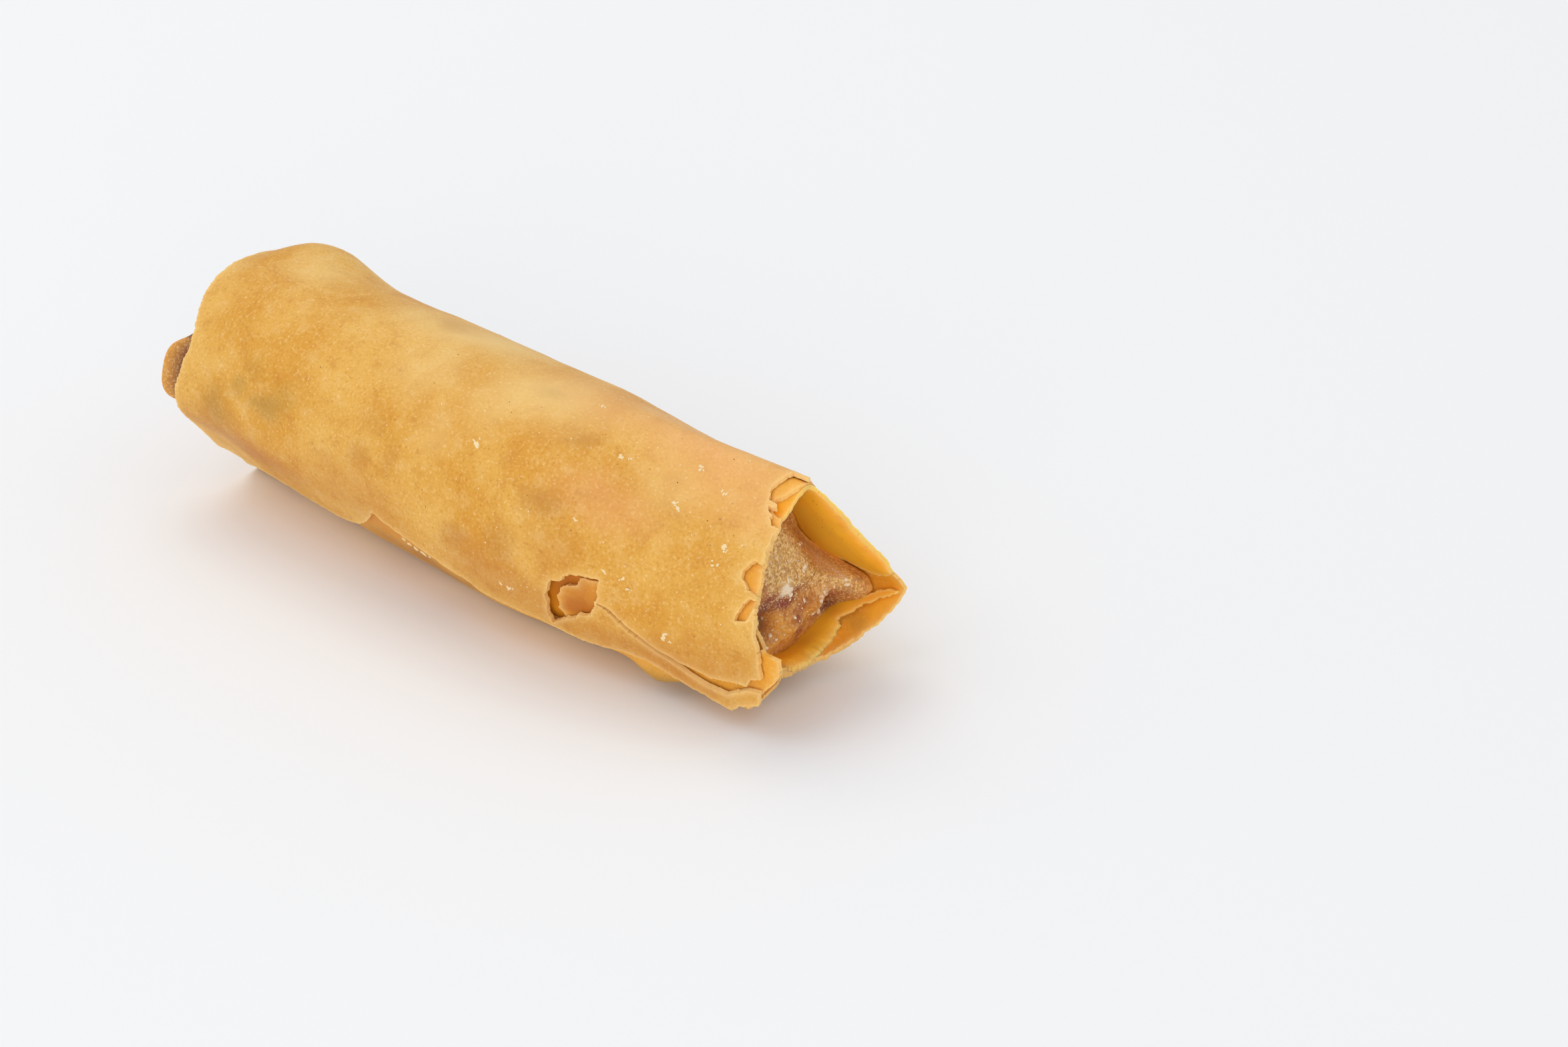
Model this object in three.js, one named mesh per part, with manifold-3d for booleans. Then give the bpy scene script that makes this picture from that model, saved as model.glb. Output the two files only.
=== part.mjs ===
// A fried spring roll that lies on its underside, with its open end to the right.
// Lengths are in millimetres and angles in degrees.
// X runs along the roll towards the open end, -Y is the front and Z is up.
// A place on the roll is given by x along it, an angle round it and a depth below the outermost sheet.
// The angle is 0 at the top, 90 at the front, 180 underneath and -90 at the back.

import * as THREE from 'three';
import { mergeVertices } from 'three/addons/utils/BufferGeometryUtils.js';
import Module from 'manifold-3d';

const wasm = await Module();
wasm.setup();

const { degToRad, lerp, smoothstep } = THREE.MathUtils;

// The sheet and the turns that are wound from it
const SHEET = 0.55;
const WALL = 1.6;
const FIT = 0.3;

// The round body, which rests on a narrow flat
const BODY_RADIUS = 13.8;
const BODY_CENTRE = { y: 0.4, z: 13.5 };
const BODY_OVAL = { by: 0.35, angle: 20 };

// The underside is flat between two places along the roll, and rises a little past them
const REST = { angle: 180, halfWidth: 40, fromX: -36, toX: 12, slope: 0.1, lift: 0.3 };

// Forms of the body: a knuckle at the top back of the far end, and places that fall away towards its rim
const KNUCKLE = { rise: 1.9, angle: -32, halfWidth: 26, x: -37, length: 6 };
const FAR_FALLS = [
  { by: 1.5, angle: -18, halfWidth: 36, fromX: -39, toX: -45 },
  { by: 2.6, angle: 125, halfWidth: 30, fromX: -19, toX: -45 },
  { by: 0.9, angle: 40, halfWidth: 40, fromX: -32, toX: -45 },
];

// The open end is pressed into a triangle with blunt corners, given by where each side faces and how far out
const MOUTH_CENTRE = { y: 3.5, z: 11.5 };
const MOUTH_SIDES = [
  { faces: -54.5, out: 10.1 },
  { faces: -133, out: 11.3 },
  { faces: 180, out: 9.5 },
  { faces: 93, out: 10.2 },
  { faces: 46.5, out: 9.4 },
];
const CORNER_SHARPNESS = 12;
const MOUTH_FROM = 8;
const MOUTH_FULL = 43;

// The middle of the finished roll, which is moved to the origin
const MIDDLE = { x: -0.41, y: 1.65 };

// How finely the turns are divided
const ROUND_STEPS = 66;
const LENGTH_STEPS = 26;
const INNER_STEPS = 16;
const CAP_RINGS = 8;
const MOUTH_DENSITY = 1.25;
const FAR_ROWS = [0.018, 0.036];
const ROD = 10;

// The free edge of the outermost sheet is highest on the lower front and curves away underneath both ways
const SEAM = {
  top: 102.5, topX: -9, drop: 31, dropLength: 16, dropLengthBack: 5, middle: 120, evensOutOver: 60,
};

// Near the open end that edge is notched, where the turn below bulges down to the surface that it rests on
const NOTCH = { by: 5, x: 28, length: 5 };
const BULGE = { rise: 1.5, angle: 142, halfWidth: 10, x: 29.2, length: 2.8 };

// Near the end of its turn the outermost sheet sinks into the turns below, past the flat that it rests on
const SHEET_TURN = 340;
const DIVE_FROM = 315;
const DIVE_TO = 334;
const OVERLAP = 0.15;
const OVERHANG = 0.4;

// The strip between the crack and the free edge stands away from the roll at its end
const STRIP = { fromAngle: 113, toAngle: 124, fromX: 30, toX: 44, lift: 0.8 };

// Places where the outermost sheet is torn away, each as [x, angle] corners
const TEARS = {
  window: [
    [18.4, 93.5], [19.7, 92.3], [21.3, 85.2], [24.4, 84], [24.4, 93.5], [23.6, 101],
    [23, 107.3], [21.6, 110], [19.4, 116.7], [17, 123.8], [17.1, 114], [17.5, 104],
  ],
  crack: [
    [24.2, 97], [25.6, 98.9], [27.9, 107.2], [31, 115.1], [33.6, 118], [37.4, 119.6], [41, 116.4],
    [43, 110.6], [46, 107.6], [46, 115.2], [42.6, 117.4], [39.6, 122.4], [36.6, 123.6], [33, 121],
    [30.6, 117.2], [27.4, 109.2], [25, 100.4],
  ],
  topBite: [[46, -7], [38, -5.5], [37.6, 2], [38.2, 9], [38.8, 12.8], [39.8, 16.5], [46, 17]],
  middleBite: [[46, 41], [40.2, 39.5], [39.2, 46.8], [39.6, 52], [41, 57.5], [46, 58]],
  lowBite: [[46, 61], [41.2, 62.5], [40.8, 69], [40.9, 76.8], [46, 73]],
  lowCorner: [[46, 122.6], [44.3, 122.4], [41.4, 128], [39.2, 135], [39, 150], [46, 150]],
};

// Rims as x, with how much further they reach at some angles, and small teeth along the broken ones
const EDGE_TEETH = [
  { height: 0.22, count: 11, shift: 0.5 },
  { height: 0.15, count: 17, shift: 2 },
];
const INNER_RIM = {
  x: 41.4,
  teeth: 1,
  reaches: [
    { by: 2.6, angle: 97, halfWidth: 40 },
    { by: 3.2, angle: -97, halfWidth: 22 },
    { by: -1.4, angle: 0, halfWidth: 25 },
    { by: -1.8, angle: 180, halfWidth: 35 },
  ],
};
const SHEET_RIM = {
  x: 41.5,
  teeth: -1,
  reaches: [
    { by: 1.6, angle: 80, halfWidth: 45 },
    { by: 2.4, angle: 112, halfWidth: 22 },
    { by: -2.5, angle: 150, halfWidth: 22 },
    { by: 3.0, angle: -97, halfWidth: 22 },
    { by: -1.6, angle: 0, halfWidth: 25 },
    { by: -2.6, angle: -160, halfWidth: 42 },
  ],
};
const FAR_RIM = {
  x: -43.3,
  teeth: 0,
  reaches: [
    { by: -0.6, angle: -15, halfWidth: 40 },
    { by: 2.0, angle: 135, halfWidth: 35 },
    { by: 0.8, angle: 80, halfWidth: 30 },
    { by: 1.9, angle: 58, halfWidth: 20 },
  ],
};
const TEAR_ABOVE = 3;
const TEAR_BELOW = 1;

// The face of the filled fold inside the open end, as swellings and hollows across it
const FACE_X = 37.2;
const FACE_FORMS = [
  { y: 2.5, z: 12.8, wide: 4.4, rise: 1.4 },
  { y: 7.0, z: 17.0, wide: 3.6, rise: -0.8 },
  { y: 12.2, z: 9.6, wide: 2.4, rise: 0.9 },
  { y: 10.9, z: 7.2, wide: 1.6, rise: -1.5 },
  { y: -2.4, z: 8.2, wide: 1.6, rise: 1.3 },
  { y: 2.2, z: 6.2, wide: 1.5, rise: 0.7 },
  { y: 5.8, z: 7.0, wide: 1.6, rise: 1.0 },
  { y: 0.9, z: 9.4, wide: 1.2, rise: -2.0 },
];
const FACE_RIM = {
  x: 37,
  teeth: 0,
  reaches: [
    { by: -4.2, angle: -50, halfWidth: 42 },
    { by: 4.6, angle: -107, halfWidth: 15 },
    { by: -2.0, angle: 10, halfWidth: 35 },
    { by: 0.8, angle: 115, halfWidth: 30 },
  ],
};
const FACE_RIM_FROM = 0.55;

// The folded lump that stands out of the far end
const FAR_FACE_X = -42.4;
const FAR_FORMS = [
  { y: 3.5, z: 8.5, wide: 4.5, rise: -1.2 },
  { y: -2.5, z: 18.5, wide: 4.2, rise: 2.2 },
  { y: 7.5, z: 17.5, wide: 3.6, rise: -0.8 },
  { y: -1.5, z: 11.5, wide: 2.2, rise: 1.6 },
];
const LUMP = {
  angle: 80, halfWidth: 24, sharpness: 4, share: 0.92, shareWidth: 0.3, rise: 3.3,
  flare: 1.0, flareFrom: -43.4, flareTo: -45.2,
};

// A swelling round the roll: 1 at its angle, falling away over its half width, flatter on top when sharper
function bump(angle, { angle: middle, halfWidth }, sharpness = 2) {
  const turned = ((((angle - middle) % 360) + 540) % 360) - 180;
  return Math.exp(-(Math.abs(turned / halfWidth) ** sharpness));
}

// Distance to a rounded polygon's outline from its centre
function polygonRadius(angle) {
  let sum = 0;
  for (const side of MOUTH_SIDES) {
    sum += (Math.max(0, Math.cos(degToRad(angle - side.faces))) / side.out) ** CORNER_SHARPNESS;
  }
  return sum ** (-1 / CORNER_SHARPNESS);
}

// A lump on the roll, which falls away both along and round it
function lumpRise(lump, x, angle) {
  return lump.rise * bump(angle, lump) * Math.exp(-(((x - lump.x) / lump.length) ** 2));
}

function bodyRadius(x, angle) {
  const oval = BODY_OVAL.by * Math.cos(2 * degToRad(angle - BODY_OVAL.angle));
  let radius = BODY_RADIUS + oval + lumpRise(KNUCKLE, x, angle);
  for (const fall of FAR_FALLS) {
    radius -= fall.by * bump(angle, fall) * smoothstep(-x, -fall.fromX, -fall.toX);
  }
  return radius;
}

function restLift(x) {
  return Math.min(REST.lift, REST.slope * Math.max(0, REST.fromX - x, x - REST.toX));
}

// A point of the roll, at a share of the way out from its centre line to the given depth
function place(x, angle, depth, share = 1) {
  const toMouth = smoothstep(x, MOUTH_FROM, MOUTH_FULL);
  const radius = (lerp(bodyRadius(x, angle), polygonRadius(angle), toMouth) - depth) * share;
  const y = lerp(BODY_CENTRE.y, MOUTH_CENTRE.y, toMouth) - radius * Math.sin(degToRad(angle));
  const z = lerp(BODY_CENTRE.z, MOUTH_CENTRE.z, toMouth) + radius * Math.cos(degToRad(angle));
  return new THREE.Vector3(x, y, Math.max(z, depth, 0) + restLift(x) * bump(angle, REST));
}

// Where a rim stands at an angle, as x
function rimX(rim, angle) {
  let x = rim.x;
  for (const reach of rim.reaches) {
    x += reach.by * bump(angle, reach);
  }
  for (const wave of EDGE_TEETH) {
    x += rim.teeth * wave.height * Math.sin(wave.count * degToRad(angle) + wave.shift);
  }
  return x;
}

// The angle reached by the outermost turn, wound back from its free edge
function woundAngle(x, turned) {
  const length = x < SEAM.topX ? SEAM.dropLengthBack : SEAM.dropLength;
  const drop = SEAM.drop * (1 - Math.exp(-Math.abs(x - SEAM.topX) / length));
  const notch = NOTCH.by * Math.exp(-(((x - NOTCH.x) / NOTCH.length) ** 2));
  const seam = SEAM.top + drop - notch;
  return lerp(seam, SEAM.middle, smoothstep(turned, 0, SEAM.evensOutOver)) - turned;
}

function stripLift(x, angle) {
  const across = smoothstep(angle, STRIP.fromAngle, STRIP.toAngle);
  return STRIP.lift * across * smoothstep(x, STRIP.fromX, STRIP.toX);
}

// A closed solid from a geometry whose corners have been moved
function solidFrom(geometry) {
  geometry.deleteAttribute('normal');
  geometry.deleteAttribute('uv');
  const merged = mergeVertices(geometry);
  const corners = merged.index.array;
  const kept = [];
  for (let i = 0; i < corners.length; i += 3) {
    const [a, b, c] = corners.subarray(i, i + 3);
    if (a !== b && b !== c && c !== a) kept.push(a, b, c);
  }
  const vertProperties = new Float32Array(merged.attributes.position.array);
  return new wasm.Manifold(new wasm.Mesh({ numProp: 3, vertProperties, triVerts: new Uint32Array(kept) }));
}

function movePoints(geometry, placeOf) {
  const position = geometry.attributes.position;
  for (let i = 0; i < position.count; i += 1) {
    const moved = placeOf(position.getX(i), position.getY(i), position.getZ(i));
    position.setXYZ(i, moved.x, moved.y, moved.z);
  }
  return geometry;
}

// A profile of [distance out, way along] is turned into a rod, and the rod is then laid along the roll
function rolled(profile, placeOf) {
  const points = profile.map(([out, along]) => new THREE.Vector2(out, along));
  const lathe = new THREE.LatheGeometry(points, ROUND_STEPS);
  return solidFrom(
    movePoints(lathe, (x, y, z) => {
      const angle = THREE.MathUtils.radToDeg(Math.atan2(x, z));
      return placeOf(y, angle, Math.hypot(x, z));
    }),
  );
}

// Ways along the roll from 0 to 1, closer together towards the open end, with the far rows that hold its rim
function waysAlong(steps) {
  const ways = Array.from({ length: steps + 1 }, (_, i) => 1 - (1 - i / steps) ** MOUTH_DENSITY);
  ways.splice(1, 0, ...FAR_ROWS);
  return ways;
}

// The inner turns: a tube whose inner face starts a little behind its outer face
function makeInnerTurns() {
  const outside = waysAlong(LENGTH_STEPS).map((along) => [ROD, along]);
  const inside = waysAlong(INNER_STEPS).reverse().map((along) => [ROD - WALL, along]);
  const profile = [...inside, ...outside, inside[0]];
  return rolled(profile, (along, angle, out) => {
    const isInside = out < ROD - SHEET;
    const back = isInside ? SHEET : 0;
    const x = lerp(rimX(FAR_RIM, angle) + back, rimX(INNER_RIM, angle) - back, along);
    return place(x, angle, isInside ? WALL : SHEET - lumpRise(BULGE, x, angle));
  });
}

// The outermost turn: a flat sheet wound once round from its free edge, its far edge let into the turns below
function makeOuterTurn() {
  const ways = waysAlong(LENGTH_STEPS);
  const sheet = new THREE.BoxGeometry(1, 1, 1, ways.length - 1, 1, ROUND_STEPS);
  return solidFrom(
    movePoints(sheet, (px, py, pz) => {
      const along = ways[Math.round((px + 0.5) * (ways.length - 1))];
      const turned = (0.5 - pz) * SHEET_TURN;
      const angle = woundAngle(lerp(FAR_RIM.x, SHEET_RIM.x, along), turned);
      const x = lerp(rimX(FAR_RIM, angle) - OVERHANG, rimX(SHEET_RIM, angle), along);
      const dive = (SHEET + OVERLAP) * smoothstep(turned, DIVE_FROM, DIVE_TO);
      const depth = py > 0 ? dive : SHEET + 2 * OVERLAP;
      return place(x, angle, depth - stripLift(x, angle));
    }),
  );
}

// A plug with the outline of a tear, long enough to pass through the outermost sheet
function makeTear(outline) {
  const shape = new THREE.Shape(outline.map(([x, angle]) => new THREE.Vector2(x, angle)));
  const plug = new THREE.ExtrudeGeometry(shape, { depth: TEAR_ABOVE + TEAR_BELOW, bevelEnabled: false });
  return solidFrom(movePoints(plug, (x, angle, below) => place(x, angle, below - TEAR_ABOVE)));
}

function makeWrapper() {
  let outerTurn = makeOuterTurn();
  for (const outline of Object.values(TEARS)) {
    outerTurn = outerTurn.subtract(makeTear(outline));
  }
  return outerTurn.add(makeInnerTurns());
}

// The sum of the swellings and hollows at a point of a face
function relief(forms, { y, z }) {
  let sum = 0;
  for (const form of forms) {
    sum += form.rise * Math.exp(-((y - form.y) ** 2 + (z - form.z) ** 2) / form.wide ** 2);
  }
  return sum;
}

// The faces of the filling, as x over the section of the roll
function nearFaceX(angle, depth, share) {
  const x = FACE_X + relief(FACE_FORMS, place(FACE_X, angle, depth, share));
  return lerp(x, rimX(FACE_RIM, angle), smoothstep(share, FACE_RIM_FROM, 1));
}

function farFaceX(angle, depth, share) {
  const across = Math.exp(-(((share - LUMP.share) / LUMP.shareWidth) ** 2));
  const lump = LUMP.rise * bump(angle, LUMP, LUMP.sharpness) * across;
  return FAR_FACE_X - lump + relief(FAR_FORMS, place(FAR_FACE_X, angle, depth, share));
}

// The filled fold: it runs the whole length, with a domed near face and a lump at the far end
function makeFilling() {
  const depth = WALL + FIT;
  const capShares = Array.from({ length: CAP_RINGS }, (_, i) => i / CAP_RINGS);
  const farCap = capShares.map((share) => [ROD * share, 0]);
  const side = waysAlong(INNER_STEPS).map((along) => [ROD, along]);
  const nearCap = capShares.map((share) => [ROD * share, 1]).reverse();
  return rolled([...farCap, ...side, ...nearCap], (along, angle, out) => {
    const share = out / ROD;
    const x = lerp(farFaceX(angle, depth, share), nearFaceX(angle, depth, share), along);
    const past = smoothstep(-x, -LUMP.flareFrom, -LUMP.flareTo);
    const flare = LUMP.flare * bump(angle, LUMP, LUMP.sharpness) * past;
    return place(x, angle, depth - flare, share);
  });
}

function meshFrom(name, solid, finish) {
  const { vertProperties, triVerts } = solid.getMesh();
  const geometry = new THREE.BufferGeometry();
  geometry.setAttribute('position', new THREE.BufferAttribute(new Float32Array(vertProperties), 3));
  geometry.setIndex(new THREE.BufferAttribute(new Uint32Array(triVerts), 1));
  geometry.computeVertexNormals();
  const mesh = new THREE.Mesh(geometry, new THREE.MeshStandardMaterial(finish));
  mesh.name = name;
  return mesh;
}

const roll = new THREE.Group();
roll.add(meshFrom('wrapper', makeWrapper(), { color: 0xe5ae5e, roughness: 0.6, metalness: 0 }));
roll.add(meshFrom('filling', makeFilling(), { color: 0xb0743f, roughness: 0.8, metalness: 0 }));
roll.position.set(-MIDDLE.x, -MIDDLE.y, 0);

export default roll;
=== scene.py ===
# A fried spring roll that lies on its underside, with its torn open end to the right.
# Lengths are millimetres and angles are degrees, until a finished mesh is taken to metres.
# A place on the roll is its x, an angle round it and a depth below the outermost face.
# The angle is 0 at the top, 90 at the front, 180 underneath and -90 at the back.

import math
import random
from functools import partial

import bmesh
import bpy
import numpy as np
from mathutils import Matrix, Vector, noise


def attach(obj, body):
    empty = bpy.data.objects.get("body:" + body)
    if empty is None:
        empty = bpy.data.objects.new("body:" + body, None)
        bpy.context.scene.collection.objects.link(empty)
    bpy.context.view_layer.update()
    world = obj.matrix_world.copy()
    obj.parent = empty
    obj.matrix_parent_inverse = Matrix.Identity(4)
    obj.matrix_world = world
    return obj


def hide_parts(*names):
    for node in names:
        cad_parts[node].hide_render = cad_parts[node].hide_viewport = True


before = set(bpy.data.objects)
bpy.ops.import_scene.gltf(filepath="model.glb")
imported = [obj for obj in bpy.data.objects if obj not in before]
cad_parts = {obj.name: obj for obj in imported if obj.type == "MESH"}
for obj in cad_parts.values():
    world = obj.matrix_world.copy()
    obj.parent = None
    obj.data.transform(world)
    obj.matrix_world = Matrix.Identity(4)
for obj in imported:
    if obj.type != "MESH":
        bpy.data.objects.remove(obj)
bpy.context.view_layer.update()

MM = 0.001

# The wound sheet: its thickness, the step from one turn to the next and the arc of one degree
SHEET = 0.5
STEP = 0.56
ARC = 0.236

# The round body and the flat that it rests on
BODY_RADIUS = 13.8
BODY_CENTRE = (0.4, 13.5)
OVAL_BY, OVAL_ANGLE = 0.35, 20
REST_ANGLE, REST_HALF_WIDTH = 180, 40
REST_FROM_X, REST_TO_X, REST_SLOPE, REST_LIFT = -36, 12, 0.1, 0.3

# Forms of the body: a knuckle at the top back of the far end, and places that fall away towards its rim
KNUCKLE = {"rise": 1.9, "angle": -32, "half_width": 26, "x": -37, "length": 6}
FAR_FALLS = [
    {"by": 1.5, "angle": -18, "half_width": 36, "from_x": -39},
    {"by": 2.4, "angle": 134, "half_width": 34, "sharpness": 4, "from_x": 5},
    {"by": 0.9, "angle": 40, "half_width": 40, "from_x": -32},
]
FAR_FALL_TO_X = -45

# The open end is pressed into a triangle with blunt corners: where each side faces and how far out
MOUTH_CENTRE = (3.5, 11.5)
MOUTH_SIDES = [(-54.5, 10.1), (-133, 11.3), (180, 9.5), (93, 10.2), (46.5, 9.4)]
CORNER_SHARPNESS = 12
BACK_SWELL = {"by": 0.3, "angle": -50, "half_width": 24}
MOUTH_FROM, MOUTH_FULL = 8, 43

# The middle of the roll, which is the origin of the finished pieces
MIDDLE = (-0.41, 1.65)

# The free edge is highest on the lower front and curves away underneath both ways,
# with two places where it is worn back
SEAM = {
    "top": 102.5, "x": -9, "drop": 31, "length": 16, "length_back": 5, "middle": 120,
    "evens_out_over": 60,
}
SEAM_NOTCHES = [
    {"by": 5, "x": 28, "half_width": 5},
    {"by": 3.5, "x": 0, "half_width": 6},
]

# Each turn: the angle it is wound from, how far, and how its end sinks under the next one
OUTER_SWEEP = 340
SECOND_FROM, SECOND_SWEEP = 185, 385
THIRD_FROM, THIRD_SWEEP = 150, 395
SINK_BY = STEP + 0.15
SINK_LEAD, SINK_OVER = 25, 19

# The loosened strip below the crack, how far the outer turn's edges stand off, and their pale torn line
STRIP = {"from_angle": 113, "to_angle": 124, "from_x": 30, "to_x": 44, "lift": 0.35}
CURL_BY, CURL_OVER = 0.12, 0.8
TORN_WIDTH = 0.35

# Places where the outermost sheet is torn away, each as (x, angle) corners
OUTER_TEARS = [
    # The window on the lower front
    [
        (18.4, 93.5), (19.7, 92.3), (21.3, 85.2), (24.4, 84), (24.4, 93.5), (23.6, 101),
        (23, 107.3), (21.6, 110), (19.4, 116.7), (17, 123.8), (17.1, 114), (17.5, 104),
    ],
    # The bite at the top of the rim, the two at the middle and the corner below the strip
    [
        (46, -7), (40.2, -6.8), (38.6, -5.5), (37.9, -1), (37.6, 3), (37.9, 7.4), (39.1, 7.9),
        (39.2, 9.4), (38.3, 10), (38.5, 12), (39.3, 12.6), (39.1, 14.4), (39.7, 17), (46, 17.5),
    ],
    [(46, 41), (40.2, 39.5), (39.2, 46.8), (39.6, 52), (40.9, 57.5), (46, 58)],
    [(46, 60.5), (41.6, 61.2), (41.1, 69), (40.9, 76.8), (42.3, 75.4), (42.7, 66), (46, 66)],
    [
        (46, 122.6), (44.3, 122.4), (42.5, 125), (41.4, 128), (40.3, 131), (39.2, 135), (39, 150),
        (46, 150),
    ],
]

# The crack from the window to the rim, with a cleaner edge than the other tears
CRACK = [
    (24.0, 97.4), (25.6, 98.9), (27.9, 107.2), (31, 115.1), (33.6, 118.0), (37.4, 119.6),
    (41, 116.4), (42.6, 115.4), (43.2, 110.6), (44.6, 107.8), (46, 107.6), (46, 115.2),
    (42.6, 117.6), (39.8, 124.2), (37.2, 125.2), (34.6, 123), (32.2, 119.4), (30.4, 116.9),
    (27.4, 108.9), (25.0, 100.3), (24.0, 99),
]
CRACK_RAGGED = 0.3

# The second turn is torn along the window's upper left, and at the top of its rim
SECOND_TEARS = [
    [
        (16.2, 90), (20.5, 83), (24.8, 82), (24.8, 86), (22.2, 87.3), (21.1, 94), (19.5, 96.5),
        (18.5, 105), (18.3, 113), (18.9, 120), (18.4, 127), (16, 127),
    ],
    [(46, -4.5), (40.3, -4), (39.2, 1), (38.3, 4.8), (38.6, 9.5), (46, 13)],
]

# The third turn is torn along the back corner of the open end
THIRD_TEARS = [
    [
        (47, -81), (45.4, -82), (43.1, -89.2), (40.6, -93), (38.8, -93), (36.5, -92), (36.5, -104),
        (39.9, -107), (42.7, -99), (44.5, -96.5), (47, -96),
    ],
]

# Rims at the open end, as (angle, x) all the way round
OUTER_RIM = [
    (-160, 38.9), (-146, 39.6), (-132, 41.0), (-115, 42.4), (-95, 42.4), (-83, 41.8), (-75, 41.2),
    (-65, 40.2), (-50, 39.6), (-25, 39.5), (-10, 39.4), (-5, 41), (14, 41), (21, 40.3), (32, 40.8),
    (47, 41.2), (57, 42.0), (63, 42.7), (81, 43.7), (93, 44.4), (108, 44.5), (126, 44.4),
    (140, 40.0), (152, 39), (165, 38.4), (180, 38.9),
]
SECOND_RIM = [
    (-160, 39.3), (-146, 40.0), (-132, 41.3), (-121, 42.8), (-109, 43.7), (-102, 44.2), (-95, 44.8),
    (-86, 44.1), (-80, 42.7), (-65, 41.2), (-50, 40.4), (-25, 40.2), (-8, 40.0), (5, 40),
    (22, 40.3), (38, 40.8), (56, 41.8), (70, 42.6), (92, 43.0), (93, 46.6), (99, 46.8), (104, 46.6),
    (109, 46.2), (114, 45.2), (120, 44.2), (125, 42.9), (128, 42.2), (140, 41.2), (150, 40.8),
    (160, 40.2), (168, 39.8), (174, 39.3), (180, 39.2),
]
THIRD_RIM = [
    (-160, 39.7), (-146, 39.3), (-135, 39.2), (-128, 39.3), (-125, 38.9), (-111, 40.8),
    (-104, 42.4), (-97, 44.5), (-83, 44.0), (-75, 43.4), (-68, 42.5), (-57, 41.9), (-48, 41.4),
    (-25, 41.4), (-15, 40.9), (-8, 40.4), (4, 40.2), (11, 39.5), (19, 39.8), (37, 40.2), (46, 40.6),
    (57, 41.4), (70, 42.0), (79, 42.5), (86, 42.9), (94, 43.1), (103, 43.2), (112, 42.9),
    (125, 41.5), (140, 39.5), (150, 38.2), (165, 37.6), (172, 37.8), (177, 38.9), (180, 40.0),
    (188, 40.1),
]

# The rim at the far end: its x, and what it keeps back by round some angles: (by, angle, half width)
FAR_RIM = (-43.3, [(-0.6, -15, 40), (2.0, 135, 35), (0.8, 80, 30), (1.9, 58, 20)])
SECOND_FAR_IN, THIRD_FAR_IN = 0.4, 1.1

# Where the third turn stands off the second inside the mouth: (by, angle, half width)
THIRD_PEELS = [(0.8, 97, 13), (0.5, 140, 20), (0.75, -160, 34), (0.4, -118, 14)]
PEEL_FROM, PEEL_TO = 36, 39.5

# Where the rim of the third turn curls out over the others: the back lip and the one underneath
LIPS = [
    {"by": 1.0, "over": 2.6, "angle": -47, "half_width": 40, "sharpness": 6},
    {"by": 0.8, "over": 1.6, "angle": -160, "half_width": 34, "sharpness": 4},
]

# A blister of the second turn at the table, and soft creases of the outer one
BLISTER = {"x": 29.2, "angle": 142, "along": 2.8, "across": 2.4, "rise": 1.5}
CREASES = [
    {"from": (4, 122), "to": (11, 75), "width": 1.4, "depth": 0.22},
    {"from": (24.4, 84), "to": (28.5, 80.5), "width": 0.35, "depth": 0.1},
    {"from": (-32, 62), "to": (-14, 38), "width": 2.2, "depth": 0.14},
]

# Layers of relief, each as (size, height): the teeth of a torn edge, and the soft waves of the roll
RAGGED = [(1.9, 0.24), (0.8, 0.18), (0.4, 0.09)]
WAVES = [(11, 0.22), (4, 0.07), (1.6, 0.025)]

# Each layer of noise is read from its own place, this far on for each seed
NOISE_SHIFT = Vector((17.3, 5.1, 9.7))
SEEDS = {
    "waves": 0, "outer edge": 11, "second edge": 21, "third edge": 31, "open face": 41,
    "stains along": 61, "stains round": 71,
}

# The flat grid of a turn: denser towards the mouth, spare cells past its ends, finer cells near its edges
MOUTH_DENSITY = 1.15
SPARE_TURN = 3
SPARE_ENDS = (-46, 47.6)
TURN_COLUMNS, TURN_ROWS = 120, 112
REACHES = (1.6, 0.8)
CELL = 0.2

# Points this close to an edge are moved onto it, along the slope that a small nudge shows,
# and the slope is never taken to be flatter than this
SNAP_WITHIN = CELL * 0.6
SNAP_NUDGE = CELL / 8
SNAP_FLATTEST = 0.3

# Points closer than this are merged after a spin, and a level side of an outline counts as rising this much
MERGE_WITHIN = 1e-5
LEVEL_RISE = 1e-9

# Edges sharper than this stay crisp in the shading
SHARP_ANGLE = 50

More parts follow.
